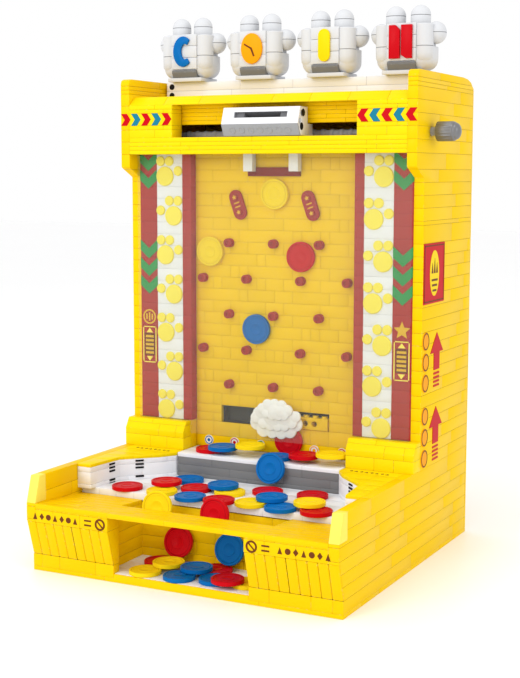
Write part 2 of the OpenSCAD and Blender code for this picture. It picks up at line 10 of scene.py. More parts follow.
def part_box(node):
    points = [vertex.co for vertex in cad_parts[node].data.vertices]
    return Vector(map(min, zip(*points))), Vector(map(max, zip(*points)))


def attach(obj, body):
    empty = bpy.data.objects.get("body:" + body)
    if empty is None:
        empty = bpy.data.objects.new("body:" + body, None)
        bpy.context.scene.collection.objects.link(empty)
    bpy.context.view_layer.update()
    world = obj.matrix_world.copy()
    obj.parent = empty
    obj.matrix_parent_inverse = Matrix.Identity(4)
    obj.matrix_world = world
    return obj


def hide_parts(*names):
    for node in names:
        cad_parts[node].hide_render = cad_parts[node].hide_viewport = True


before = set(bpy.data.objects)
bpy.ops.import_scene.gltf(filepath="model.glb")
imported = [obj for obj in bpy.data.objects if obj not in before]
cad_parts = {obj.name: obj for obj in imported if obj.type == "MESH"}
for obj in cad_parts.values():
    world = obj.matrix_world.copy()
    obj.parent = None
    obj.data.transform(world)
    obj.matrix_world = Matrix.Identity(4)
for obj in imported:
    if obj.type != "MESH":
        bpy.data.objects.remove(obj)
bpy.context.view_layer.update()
scene = bpy.context.scene

# ---- camera ----
# A player standing a little to the right of the machine and looking slightly down at it,
# through a short telephoto lens.
eye = bpy.data.cameras.new("eye")
eye.lens = 71.2
eye.sensor_width = 36
eye.clip_start = 0.05
viewer = bpy.data.objects.new("viewer", eye)
viewer.location = (0.47596, -0.93127, 0.29821)
viewer.rotation_euler = (math.radians(90 - 7.008), math.radians(-0.061), math.radians(27.111))
scene.collection.objects.link(viewer)
scene.camera = viewer

# ---- studio ----
# A seamless pale table under a bright even sky, with two broad soft lamps: one high in front
# on the left, and one on the right that keeps the side wall warm.
scene.view_settings.view_transform = "Standard"
sky = bpy.data.worlds.new("studio_sky")
sky.use_nodes = True
sky.node_tree.nodes["Background"].inputs["Color"].default_value = (1.0, 1.0, 1.0, 1)
sky.node_tree.nodes["Background"].inputs["Strength"].default_value = 1.0
scene.world = sky


def soft_lamp(name, place, aim, size, watts):
    lamp = bpy.data.lights.new(name, "AREA")
    lamp.shape = "DISK"
    lamp.size = size
    lamp.energy = watts
    holder = bpy.data.objects.new(name, lamp)
    holder.location = place
    holder.rotation_euler = (Vector(aim) - Vector(place)).to_track_quat("-Z", "Y").to_euler()
    scene.collection.objects.link(holder)


soft_lamp("key_lamp", (-0.5, -1.6, 0.9), (0, 0, 0.2), 0.8, 9)
soft_lamp("side_lamp", (1.6, -0.3, 0.8), (0, 0, 0.2), 0.8, 3)
soft_lamp("top_lamp", (0.1, -0.5, 1.7), (0, 0, 0.2), 0.8, 4)

# ---- base ----
# The low cabinet: a bottom of wide plates and two side walls of bricks on it, moulded in
# glossy yellow plastic. Courses are 9.6 mm high with a few 3.2 mm plates, and the joints lie
# on an 8 mm grid and never line up.
class Wire:
    """A shader value that adds its own Math nodes when it is used in a sum."""

    def __init__(self, finish, socket):
        self.finish = finish
        self.socket = socket

    def _maths(self, operation, first, second):
        return self.finish.node("Math", {"operation": operation}, {0: first, 1: second})

    def __add__(self, other):
        return self._maths("ADD", self, other)

    def __sub__(self, other):
        return self._maths("SUBTRACT", self, other)

    def __rsub__(self, other):
        return self._maths("SUBTRACT", other, self)

    def __mul__(self, other):
        return self._maths("MULTIPLY", self, other)

    def __pow__(self, other):
        return self._maths("POWER", self, other)

    __radd__ = __add__
    __rmul__ = __mul__


class Finish:
    """One material, built node by node."""

    def __init__(self, name):
        self.material = bpy.data.materials.new(name)
        self.material.use_nodes = True
        self.tree = self.material.node_tree
        self.tree.nodes.clear()

    def node(self, kind, settings=None, feeds=None, out=0):
        made = self.tree.nodes.new("ShaderNode" + kind)
        for key, value in (settings or {}).items():
            if key == "stops":
                for stop, (at, shade) in zip(made.color_ramp.elements, value):
                    stop.position = at
                    stop.color = (shade, shade, shade, 1)
            else:
                setattr(made, key, value)
        for key, value in (feeds or {}).items():
            if isinstance(value, Wire):
                self.tree.links.new(value.socket, made.inputs[key])
            else:
                made.inputs[key].default_value = value
        return Wire(self, made.outputs[out])

    def show(self, shader):
        end = self.tree.nodes.new("ShaderNodeOutputMaterial")
        self.tree.links.new(shader.socket, end.inputs["Surface"])
        return self.material

    def blend(self, amount, first, second):
        return self.node("Mix", {"data_type": "RGBA"}, {0: amount, 6: first, 7: second}, out=2)


def shade(colour, factor):
    return tuple(min(1.0, part * factor) for part in colour[:3]) + (1,)


def moulded(name, colour, seam_shade_colour=None, rough=0.36, metallic=0.0, scratch=0.04, shine=0.05):
    """Glossy plastic: faint flow marks, fine handling scratches, rubbed edges, and seams darkened
    with painted shade.
    """
    finish = Finish(name)
    place = finish.node("TexCoord", out="Object")
    seam_shade = finish.node("Attribute", {"attribute_name": "seam_shade"}, out="Fac")
    tone = finish.node("Attribute", {"attribute_name": "tone"}, out="Fac")
    edge = finish.node("Attribute", {"attribute_name": "edge"}, out="Fac")
    flow = finish.node("TexNoise", feeds={"Vector": place, "Scale": 34.0, "Detail": 3.0})
    wear = finish.node("TexNoise", feeds={"Vector": place, "Scale": 420.0, "Detail": 4.0})
    skin = finish.node("TexNoise", feeds={"Vector": place, "Scale": 2600.0, "Detail": 2.0})
    worn = finish.node("ValToRGB", {"stops": [(0.54, 0.0), (0.7, 1.0)]}, {0: wear})
    body = finish.blend(tone * 0.5 + flow * 0.5, shade(colour, 0.94), shade(colour, 1.04))
    body = finish.blend(edge * worn * 0.2, body, shade([0.4 + 0.6 * part for part in colour], 1))
    # Painted shade: the seams are darkened towards a dark colour and made rougher.
    body = finish.blend((seam_shade ** 0.55) * 0.92, body, seam_shade_colour or shade(colour, 0.3))
    gloss = rough - 0.05 + flow * 0.08 + wear * 0.06 + seam_shade * 0.3 + edge * worn * 0.12
    bump = finish.node("Bump", feeds={"Strength": scratch, "Distance": 0.0002,
                                      "Height": skin * 0.4 + wear * 0.6})
    shader = finish.node("BsdfPrincipled", feeds={
        "Base Color": body, "Roughness": gloss, "Metallic": metallic,
        "Specular IOR Level": shine, "Normal": bump})
    return finish.show(shader)


yellow = moulded("yellow_plastic", (0.89, 0.575, 0.001), seam_shade_colour=(0.13, 0.055, 0.001, 1))
MM = 0.001
X, Y, Z = 0, 1, 2
STUD = 8.0
PLATE = 3.2
COURSE = 9.6
EDGE = 0.32
SMALL = 3e-6
CREASE = math.radians(35)


def new_shape():
    shape = bmesh.new()
    shape.verts.layers.float.new("seam_shade")
    shape.verts.layers.float.new("tone")
    shape.faces.layers.float.new("edge")
    return shape


def span(node):
    low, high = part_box(node)
    return low / MM, high / MM


def extents(shape):
    spots = [v.co for v in shape.verts]
    low = Vector([min(s[i] for s in spots) for i in range(3)])
    high = Vector([max(s[i] for s in spots) for i in range(3)])
    return low, high


def node_shape(*nodes):
    """A merged copy of CAD nodes in millimetres, with flat faces made whole."""
    shape = new_shape()
    for node in nodes:
        shape.from_mesh(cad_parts[node].data)
    bmesh.ops.scale(shape, vec=(1 / MM, 1 / MM, 1 / MM), verts=shape.verts)
    bmesh.ops.remove_doubles(shape, verts=shape.verts, dist=0.004)
    bmesh.ops.dissolve_limit(shape, angle_limit=math.radians(0.4), verts=shape.verts,
                             edges=shape.edges, delimit=set())
    return shape


def slab(shape, axis, low, high):
    """The part of a shape between two planes across an axis, closed again."""
    part = shape.copy()
    for at, side in ((low, -1), (high, 1)):
        if at is None or not part.faces:
            continue
        point = Vector()
        point[axis] = at
        normal = Vector()
        normal[axis] = side
        every = part.verts[:] + part.edges[:] + part.faces[:]
        bmesh.ops.bisect_plane(part, geom=every, dist=0.0005, plane_co=point, plane_no=normal,
                               clear_outer=True)
        rim = [edge for edge in part.edges if edge.is_boundary]
        if rim:
            bmesh.ops.holes_fill(part, edges=rim, sides=0)
    return part


def soften(shape, width=EDGE, segments=2, sharp=0.4):
    """Rounds every sharp edge, and marks the rounded faces as edge."""
    bmesh.ops.recalc_face_normals(shape, faces=shape.faces)
    hard = [e for e in shape.edges if len(e.link_faces) == 2 and e.calc_face_angle(0) > sharp]
    edge = shape.faces.layers.float["edge"]
    made = bmesh.ops.bevel(shape, geom=hard, offset=width, offset_type="OFFSET",
                           segments=segments, profile=0.5, affect="EDGES",
                           clamp_overlap=True, material=-1)
    for face in made["faces"]:
        face[edge] = 1.0
    return shape


def add(shape, part):
    """Moves a part's geometry into a shape."""
    mesh = bpy.data.meshes.new("part")
    part.to_mesh(mesh)
    part.free()
    shape.from_mesh(mesh)
    bpy.data.meshes.remove(mesh)


def lay(shape, up, along, beds, lengths, seed, width=EDGE):
    """Cuts a shape into softened bricks, in courses between the beds."""
    chance = random.Random(seed)
    wall = new_shape()
    low, high = extents(shape)
    beds = [b for b in beds if low[up] + 0.6 < b < high[up] - 0.6]
    beds = [low[up]] + beds + [high[up]]
    last = []
    for bottom, top in zip(beds, beds[1:]):
        course = slab(shape, up, bottom, top)
        if not course.faces:
            course.free()
            continue
        start, end = (corner[along] for corner in extents(course))
        joints = [start]
        at = math.floor(start / STUD) * STUD
        at += STUD * chance.choice(lengths)
        while at < end - STUD * 0.9:
            if any(abs(at - old) < 1 for old in last):
                at += STUD
                continue
            joints.append(at)
            at += STUD * chance.choice(lengths)
        last = joints[1:]
        joints.append(end)
        for left, right in zip(joints, joints[1:]):
            brick = slab(course, along, left, right)
            if brick.faces:
                planes = [(up, p) for p in (bottom, top) if low[up] + 0.6 < p < high[up] - 0.6]
                planes += [(along, p) for p in (left, right) if p not in (start, end)]
                finish_brick(brick, planes, chance.random(), width)
                add(wall, brick)
            else:
                brick.free()
        course.free()
    shape.free()
    return wall


def lay_sides(shape, *rest, **options):
    """Lays the left and the right half of a shape by themselves."""
    wall = new_shape()
    for low, high in ((None, 0), (0, None)):
        add(wall, lay(slab(shape, X, low, high), *rest, **options))
    shape.free()
    return wall


def finish_brick(brick, seams, tone_value, width):
    soften(brick, width)
    seam_shade = brick.verts.layers.float["seam_shade"]
    tone = brick.verts.layers.float["tone"]
    for vert in brick.verts:
        vert[tone] = tone_value
        # The joint faces are marked here, and the material darkens them with painted shade.
        vert[seam_shade] = float(any(abs(vert.co[axis] - at) < 0.02 for axis, at in seams))


def every(step, low, high):
    """Bed heights at a step from low to below high."""
    return [low + step * k for k in range(1, int((high - low) / step) + 1)]


def keep(shape, name, body, finish, *stands_for, slot=None):
    """Turns a shape in millimetres into a piece that rides on a body."""
    bmesh.ops.recalc_face_normals(shape, faces=shape.faces)
    bmesh.ops.scale(shape, vec=(MM, MM, MM), verts=shape.verts)
    edge = shape.faces.layers.float["edge"]
    rounded = any(face[edge] > 0.5 for face in shape.faces)
    for face in shape.faces:
        face.smooth = not rounded or face[edge] > 0.5 or face.calc_area() < SMALL
    mesh = bpy.data.meshes.new(name)
    shape.to_mesh(mesh)
    shape.free()
    mesh.set_sharp_from_angle(angle=CREASE)
    mesh.materials.append(finish)
    piece = bpy.data.objects.new(name, mesh)
    scene.collection.objects.link(piece)
    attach(piece, body)
    if stands_for:
        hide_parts(*stands_for)
    return piece


deck_top = span("base_walls")[1].z
base_beds = every(COURSE, PLATE, deck_top - 2 * PLATE)
bottom = lay(node_shape("base_plate"), Y, X, every(32, -128, 128), (8, 12, 16), 3)
keep(bottom, "base_plates", "cabinet", yellow, "base_plate", slot="yellow_plastic")
sides = node_shape("base_walls")
for name, low, high, seed in (("left_base_wall", None, 0, 11), ("right_base_wall", 0, None, 12)):
    wall = lay(slab(sides, X, low, high), Z, Y, base_beds, (6, 8, 12, 16), seed, 0.38)
    keep(wall, name, "cabinet", yellow, "base_walls", slot="yellow_plastic")
sides.free()

# ---- front panels ----
# Either side of the tray the front leans out in eight smooth upright ribs, with a plain
# course above them. Each rib is a curved tile clipped on, the rest are bricks.
# A pale yellow: the colour of the printed frames, and a painted highlight on the corner slopes that
# face up to the lamps.
highlight_and_print_yellow = moulded("pale_yellow_plastic", (0.95, 0.80, 0.12), seam_shade_colour=(0.3, 0.18, 0.02, 1))
front_y = span("front_panels")[0].y
rib_low, rib_high = span("rib_tiles")
panel_beds = [rib_low.z, rib_high.z, rib_high.z + COURSE]
panels = lay_sides(node_shape("front_panels"), Z, X, panel_beds, (2, 4, 6), 21)
keep(panels, "front_bricks", "cabinet", yellow, "front_panels", slot="yellow_plastic")
ribs = soften(node_shape("rib_tiles"), 0.9, 3)
keep(ribs, "front_ribs", "cabinet", yellow, "rib_tiles", slot="yellow_plastic")
# The corner slopes are pale yellow as a painted highlight.
slopes = soften(node_shape("corner_slopes"), 0.5, 3)
keep(slopes, "corner_slope_bricks", "cabinet", highlight_and_print_yellow, "corner_slopes",
     slot="pale_yellow_plastic")

# ---- front ledge ----
# The sloping shelf in front of the drop slot, tiled with smooth yellow tiles in rows one stud
# deep. Two arms of it run back on either side of the slot.
LEDGE_DEPTH = 31.6
LEDGE_THICK = 3.6
LEDGE_FALL = 0.065
SLOT_HALF = 64
ledge_low, ledge_high = span("ledge")


def prism(shape, outline, axis, start, end):
    """A solid with that outline between two planes across an axis."""
    across = [i for i in range(3) if i != axis]
    corners = []
    for first, second in outline:
        spot = Vector()
        spot[across[0]], spot[across[1]], spot[axis] = first, second, start
        corners.append(shape.verts.new(spot))
    face = shape.faces.new(corners)
    pushed = bmesh.ops.extrude_face_region(shape, geom=[face])["geom"]
    shift = Vector()
    shift[axis] = end - start
    moved = [item for item in pushed if isinstance(item, bmesh.types.BMVert)]
    bmesh.ops.translate(shape, vec=shift, verts=moved)
    return corners + moved


def ledge_part(x0, x1, y0, y1):
    """A sloping slab of the ledge between two widths and two depths."""
    def top(y):
        return ledge_high.z - LEDGE_FALL * (y - ledge_low.y)

    part = new_shape()
    prism(part, [(y0, top(y0) - LEDGE_THICK), (y0, top(y0)), (y1, top(y1)),
                 (y1, top(y1) - LEDGE_THICK)], X, x0, x1)
    return lay(part, Y, X, every(STUD, y0, y1), (2, 4, 6, 8), int(x0) + 131, width=0.25)


front_row = ledge_low.y + LEDGE_DEPTH
tiles = ledge_part(ledge_low.x, ledge_high.x, ledge_low.y, front_row)
add(tiles, ledge_part(ledge_low.x, -SLOT_HALF, front_row, ledge_high.y))
add(tiles, ledge_part(SLOT_HALF, ledge_high.x, front_row, ledge_high.y))
keep(tiles, "ledge_tiles", "cabinet", yellow, "ledge", slot="yellow_plastic")

# ---- coin tray ----
# A floor of white tiles between yellow brick walls, open to the front. Coins that win fall
# through the drop slot and slide out here.
white = moulded("white_plastic", (0.82, 0.83, 0.86), seam_shade_colour=(0.16, 0.16, 0.17, 1))
floor = lay(node_shape("tray_floor"), Y, X, every(2 * STUD, -126.4, -74), (2, 4), 41, width=0.2)
keep(floor, "tray_floor_tiles", "cabinet", white, "tray_floor", slot="white_plastic")
tray = lay(node_shape("tray_walls"), Z, X, every(COURSE, PLATE, 48), (3, 4, 6), 42)
keep(tray, "tray_wall_bricks", "cabinet", yellow, "tray_walls", slot="yellow_plastic")

# ---- playfield ----
# A floor of smooth white tiles that the coins slide on, two studs wide, with no studs
# showing between the funnel walls.
play_low, play_high = span("playfield")
play_beds = every(2 * STUD, play_low.y, play_high.y)
field = lay(node_shape("playfield"), Y, X, play_beds, (2, 4), 51, width=0.2)
keep(field, "playfield_tiles", "cabinet", white, "playfield", slot="white_plastic")

# ---- funnel walls and side decks ----
# White walls bend in from the front towards the pusher, hinged at two bends. Yellow decks
# of tiles lie on them.
# A lighter, lemon copy of the yellow with painted light, for the decks, shoulders and header that
# face the lamps; the bar sign uses it too.
lit_yellow = moulded("lit_yellow_plastic", (0.89, 0.66, 0.003), seam_shade_colour=(0.15, 0.08, 0.002, 1))
# Black as painted shade, for the gaps at the funnel bends and the pin holes.
gap_and_hole_shade = moulded("gap_and_hole_shade_black", (0.012, 0.012, 0.013), rough=0.4)


def block(shape, low, high):
    middle = (Vector(low) + Vector(high)) / 2
    size = Vector(high) - Vector(low)
    place = Matrix.Translation(middle) @ Matrix.Diagonal(size.to_4d())
    return bmesh.ops.create_cube(shape, size=1, matrix=place)["verts"]


funnel_top = span("funnel_walls")[1].z
funnel_beds = [play_high.z + PLATE, play_high.z + PLATE + COURSE]
funnel = lay_sides(node_shape("funnel_walls"), Z, Y, funnel_beds, (3, 5, 6), 61, width=0.22)
keep(funnel, "funnel_bricks", "cabinet", white, "funnel_walls", slot="white_plastic")
deck_beds = every(2 * STUD, play_low.y, 16)
deck = lay_sides(node_shape("side_decks"), Y, X, deck_beds, (2, 3, 4), 62, width=0.22)
keep(deck, "deck_tiles", "cabinet", lit_yellow, "side_decks", slot="yellow_plastic")
# Thin black slivers in the gaps at the bends are painted shade.
hinges = new_shape()
for side in (-1, 1):
    for x, y, angle in ((105.0, -54, 83.5), (92.2, -33.4, 43.9)):
        for level in (1.6, 4.4, 7.2, 14.4, 17)[:5 if angle > 60 else 4]:
            verts = block(hinges, (-3.4, -0.5, -0.75), (3.4, 0.5, 0.75))
            turn = Matrix.Rotation(math.radians(-side * angle), 4, "Z")
            place = Matrix.Translation((side * x, y, funnel_top - level))
            bmesh.ops.transform(hinges, matrix=place @ turn, verts=verts)
keep(soften(hinges, 0.15, 1), "funnel_hinge_gap_shade", "cabinet", gap_and_hole_shade)

# ---- deck prints ----
# A row of small plain triangles and diamonds is printed in brown on each deck, in front of
# its shoulder.
brown = moulded("brown_plastic", (0.16, 0.045, 0.012))
ROW_X = 96
MARK_PITCH = 4.2
deck_marks = new_shape()
for side in (-1, 1):
    for k in range(8):
        x, y = side * ROW_X + MARK_PITCH * (k - 3.5), -6.4
        if k % 2:
            outline = [(x - 1.5, y - 1.8), (x + 1.5, y - 1.8), (x, y + 1.8)]
        else:
            outline = [(x - 1.4, y), (x, y - 1.9), (x + 1.4, y), (x, y + 1.9)]
        prism(deck_marks, outline, Z, deck_top - 0.1, deck_top + 0.12)
keep(deck_marks, "deck_prints", "cabinet", brown)

# ---- shoulders ----
# Two stepped blocks with a sloped front join the decks to the tower. A thin brick cheek
# closes the side of each towards the foot of the peg board.
CHEEK = 3.2
shoulder = lay_sides(node_shape("shoulders"), Z, X, every(COURSE, deck_top, 96), (2, 3), 71)
keep(shoulder, "shoulder_bricks", "cabinet", lit_yellow, "shoulders", slot="yellow_plastic")
cheeks = new_shape()
shoulder_top = span("shoulders")[1]
board_edge = span("peg_board")[1]
inner = board_edge.x + 0.3
for x in (-inner - CHEEK, inner):
    block(cheeks, (x, shoulder_top.y, deck_top), (x + CHEEK, board_edge.y, shoulder_top.z))
keep(soften(cheeks), "shoulder_cheeks", "cabinet", yellow)

# ---- tower walls ----
# The tall side walls are plain yellow brickwork one stud thick, with a few courses of thin
# plates near the header and a rounded rear top corner.
tower_high = span("cabinet_wall_right")[1]
roof = tower_high.z
tower_beds = every(COURSE, deck_top, 250)
tower_beds += [260.3, 263.5, 273.1, 282.7, 292.3, 301.9, 314.0, 324.0, 333.6, 343.2, 352.8, 362.4]
tower_beds += [365.6, 368.8]
for side, seed in (("left", 81), ("right", 82)):
    wall = lay(node_shape("cabinet_wall_" + side), Z, Y, tower_beds, (6, 8, 10, 12), seed, 0.38)
    keep(wall, side + "_tower_wall", "cabinet", yellow, "cabinet_wall_" + side,
         slot="yellow_plastic")

# ---- rear cover and roof ----
# The back is one wall of long bricks with a framed opening for the battery box. The roof is
# plated over behind the header.
rear = lay(node_shape("rear_cover"), Z, X, every(COURSE, PLATE, roof - 15), (4, 6, 8, 12), 91)
keep(rear, "rear_bricks", "cabinet", yellow, "rear_cover", slot="yellow_plastic")
roof_beds = every(2 * STUD, 16, 125)
top = lay(node_shape("roof_panel"), Y, X, roof_beds, (6, 8, 12), 92, width=0.25)
keep(top, "roof_plates", "cabinet", yellow, "roof_panel", slot="yellow_plastic")

# ---- header ----
# The beam across the top holds the carriage's slot: plates below, blocks at the ends, a back
# wall, and a band of slope bricks on top.
head_low = span("header_lower")[0]
recess_z = span("header_blocks")[0].z
lower_beds = [head_low.z + PLATE * k for k in (1, 2, 3)]
beam = lay(node_shape("header_lower"), Z, X, lower_beds, (4, 6, 8, 12), 101)
keep(beam, "header_beam_plates", "cabinet", lit_yellow, "header_lower", slot="yellow_plastic")
block_beds = [recess_z + PLATE * k for k in (2, 3, 6, 7)]
ends = lay_sides(node_shape("header_blocks"), Z, X, block_beds, (3, 5), 102)
keep(ends, "header_end_bricks", "cabinet", lit_yellow, "header_blocks", slot="yellow_plastic")
back = lay(node_shape("header_back"), Z, X, every(PLATE, recess_z + 10.4, 353), (4, 6), 103)
keep(back, "header_back_bricks", "cabinet", yellow, "header_back", slot="yellow_plastic")
band = lay(node_shape("header_top"), Y, X, [head_low.y + STUD, head_low.y + 2 * STUD],
           (4, 4, 8), 104)
keep(band, "header_slope_bricks", "cabinet", lit_yellow, "header_top", slot="yellow_plastic")

# ---- printed chevrons ----
# Ten arrow-heads printed on smooth tiles, red and blue in turn, point to the middle of the
# header.
CHEVRON_PITCH = 9.6
CHEVRON = [(0, 0), (5.6, 0), (9, 4.8), (5.6, 9.6), (0, 9.6), (3.4, 4.8)]
red = moulded("red_plastic", (0.56, 0.003, 0.009), rough=0.3)
teal = moulded("teal_plastic", (0.012, 0.20, 0.30))
chevron_z = span("chevrons")[0].z
for name, finish, choose in (("red_chevrons", red, 0), ("blue_chevrons", teal, 1)):
    marks = new_shape()
    for side in (-1, 1):
        for k in range(choose, 5, 2):
            edge_x = tower_high.x - 0.3 - CHEVRON_PITCH * k
            outline = [(side * (edge_x - a), chevron_z + b) for a, b in CHEVRON]
            prism(marks, outline, Y, head_low.y - 0.25, head_low.y + 0.3)
    keep(soften(marks, 0.08, 1), name, "cabinet", finish, "chevrons", slot="red_plastic")

# ---- peg board ----
# A wall of small yellow bricks with staggered joints, crossed low down by the cloud's slot.
# It stands between the side strips, and the pins are pushed into it.
board_low, board_high = span("peg_board")
face_y = board_low.y
slot_low, slot_high = deck_top + 22, deck_top + 36
slot_half = 48.5
board = new_shape()
block(board, (board_low.x, board_low.y, board_low.z), (board_high.x, board_high.y, slot_low))
block(board, (board_low.x, board_low.y, slot_low), (-slot_half, board_high.y, slot_high))
block(board, (slot_half, board_low.y, slot_low), (board_high.x, board_high.y, slot_high))
block(board, (board_low.x, board_low.y, slot_high), board_high)
pieces = [slab(board, Z, None, slot_low), slab(board, Z, slot_low, slot_high),
          slab(board, Z, slot_high, None)]
board.free()
wall = new_shape()
for k, (piece, beds) in enumerate(zip(pieces, ([83.7], [102.6], every(COURSE, slot_high, 320)))):
    if k == 1:
        for low, high in ((None, 0), (0, None)):
            add(wall, lay(slab(piece, X, low, high), Z, X, beds, (2, 3), 111, width=0.3))
        piece.free()
    else:
        add(wall, lay(piece, Z, X, beds, (1, 2, 2, 4), 112 + k, width=0.3))
keep(wall, "peg_board_bricks", "cabinet", yellow, "peg_board", slot="yellow_plastic")

# ---- board pegs ----
# Red pins pushed into the board: a collar against the bricks, a waist, and a round head with
# a dimple, for the coins to bounce off.
ROW_PITCH = 28.8
PIN = [(0, 0.2), (3.7, 0.2), (3.7, 2.2), (2.9, 2.5), (2.9, 3.2), (3.6, 3.5), (3.6, 5.3),
       (3.2, 5.8), (1.9, 5.8), (1.6, 4.6), (0, 4.6)]
brick_red = moulded("brick_red_plastic", (0.40, 0.035, 0.03))


def turned(shape, profile, centre, axis, segments=40):
    """A lathe-turned solid: profile is (radius, height) along the axis from centre."""
    verts = [shape.verts.new((radius, 0, height)) for radius, height in profile]
    edges = [shape.edges.new(pair) for pair in zip(verts, verts[1:])]
    spun = bmesh.ops.spin(shape, geom=verts + edges, cent=(0, 0, 0), axis=(0, 0, 1),
                          angle=math.tau, steps=segments, use_merge=True, use_duplicate=False)
    made = set(verts)
    for item in spun["geom_last"]:
        if isinstance(item, bmesh.types.BMVert):
            made.add(item)
    front = list(made)
    while front:
        vert = front.pop()
        for link in vert.link_edges:
            other = link.other_vert(vert)
            if other not in made:
                made.add(other)
                front.append(other)
    made = [v for v in made if v.is_valid]
    bmesh.ops.remove_doubles(shape, verts=made, dist=0.001)
    made = [v for v in made if v.is_valid]
    turn = {X: Matrix.Rotation(math.pi / 2, 4, "Y"), Y: Matrix.Rotation(math.pi / 2, 4, "X"),
            Z: Matrix.Identity(4)}[axis]
    bmesh.ops.transform(shape, matrix=Matrix.Translation(Vector(centre)) @ turn, verts=made)
    return made


pegs = new_shape()
for row in range(5):
    for x in ((-40, 0, 40), (-64, -24, 24, 64))[row % 2]:
        turned(pegs, PIN, (x, face_y + 0.2, 128 + ROW_PITCH * row), Y, 24)
keep(pegs, "board_pins", "cabinet", brick_red, "board_pegs", slot="red_plastic")

# ---- bumpers ----
# Two red capsules stand slanted on the board above the pins, each a smooth moulding with two
# studs and printed gold marks.
gold = moulded("gold_plastic", (0.75, 0.45, 0.03), rough=0.3)


def ring_of(x, z, radius, count=32, begin=0.0, turn=math.tau, squeeze=1.0):
    """An outline along a circle or an arc of it, squeezed sideways."""
    steps = count if abs(turn) >= math.tau else count + 1
    return [(x + squeeze * radius * math.cos(begin + turn * k / count),
             z + radius * math.sin(begin + turn * k / count)) for k in range(steps)]


def star_of(x, z, outer, inner):
    """A five-pointed outline."""
    return [(x + radius * math.sin(k * math.pi / 5), z + radius * math.cos(k * math.pi / 5))
            for k, radius in enumerate([outer, inner] * 5)]


pills = new_shape()
gilt = new_shape()
for side in (-1, 1):
    capsule = new_shape()
    outline = ring_of(0, 6.6, 5.6, 14, 0, math.pi) + ring_of(0, -6.6, 5.6, 14, math.pi, math.pi)
    prism(capsule, outline, Y, 0, -3.0)
    soften(capsule, 0.8, 3)
    for z in (-6.2, 6.2):
        turned(capsule, [(0, 3.0), (2.7, 3.0), (2.7, 4.1), (2.3, 4.4), (0, 4.4)], (0, 0, z), Y, 20)
    star = new_shape()
    for z in (-6.2, 6.2):
        prism(star, star_of(0, z, 2.1, 1.0), Y, -4.4, -4.6)
    for z in (-1.6, 1.6):
        block(star, (-2.4, -3.15, z - 0.5), (2.4, -3.0, z + 0.5))
    lean = Matrix.Rotation(math.radians(-19), 4, "Y")
    place = Matrix.Translation((32 * side, face_y, 273.8)) @ lean
    for shape, part in ((pills, capsule), (gilt, star)):
        bmesh.ops.transform(part, matrix=place, verts=part.verts)
        add(shape, part)
keep(pills, "bumper_capsules", "cabinet", brick_red, "bumpers", slot="red_plastic")
keep(gilt, "bumper_marks", "cabinet", gold)

# ---- number tiles ----
# A row of small round white tiles at the foot of the board, each printed with a coloured
# ring and dot.
DOTS = ((-60, "blue"), (-36, "red"), (-12, "green"), (12, "orange"), (36, "orange"), (60, "red"))
blue = moulded("blue_plastic", (0.003, 0.14, 0.45), rough=0.3)
green = moulded("green_plastic", (0.03, 0.30, 0.08))
orange = moulded("orange_plastic", (0.90, 0.36, 0.004))
dots = new_shape()
tints = {name: new_shape() for name in ("blue", "red", "green", "orange")}
for x, tint in DOTS:
    spot = (x, face_y, deck_top + 6)
    turned(dots, [(0, 0), (4, 0), (4, 0.7), (3.8, 0.9), (0, 0.9)], spot, Y, 28)
    ring = [(2.7, 0.85), (3.5, 0.85), (3.5, 1.0), (2.7, 1.0), (2.7, 0.85)]
    turned(tints[tint], ring, spot, Y, 28)
    prism(tints[tint], ring_of(x, spot[2], 1.5, 6), Y, face_y - 0.85, face_y - 1.0)
keep(dots, "board_foot_tiles", "cabinet", white, "number_tiles", slot="white_plastic")
for name, finish in (("blue", blue), ("red", red), ("green", green), ("orange", orange)):
    keep(tints[name], "foot_tile_print_" + name, "cabinet", finish)

# ---- side strips ----
# Upright bands of smooth tiles on each side of the board: red outside and inside, and white
# between them, one course of tiles above another.
strip_beds = every(COURSE, 96, 316)
for name, finish, slot in (("red_panels", brick_red, "red_plastic"),
                           ("white_panels", white, "white_plastic")):
    strip = lay_sides(node_shape(name), Z, X, strip_beds, (40,), 121, width=0.25)
    keep(strip, name + "_tiles", "cabinet", finish, name, slot=slot)
strip_y = span("white_panels")[0].y

# ---- paw prints ----
# Seven prints climb each white band. Each is a round pad and three small round toes: smooth
# pale yellow tiles with rounded rims, pushed onto the band.
PRINT_PITCH = 32.06
PAD = [(0, 0), (7.9, 0), (7.9, 0.9), (7.4, 1.5), (6.6, 1.7), (2, 1.75), (0, 1.75)]
TOE = [(0, 0), (3.95, 0), (3.95, 0.9), (3.4, 1.5), (0, 1.6)]
lemon = moulded("lemon_plastic", (0.93, 0.80, 0.10), seam_shade_colour=(0.3, 0.2, 0.02, 1))
prints = new_shape()
for side in (-1, 1):
    for k in range(7):
        turn = 1 if k % 2 else -1
        x, z = side * (92 - 4 * turn), 296.4 - PRINT_PITCH * k
        turned(prints, PAD, (x, strip_y, z), Y, 32)
        for dx, dz in ((-4.1, 12.2), (4.1, 12.2), (turn * 12.3, 4.3)):
            turned(prints, TOE, (x + side * dx, strip_y, z + dz), Y, 20)
keep(prints, "paw_print_tiles", "cabinet", lemon, "paw_prints", slot="yellow_plastic")

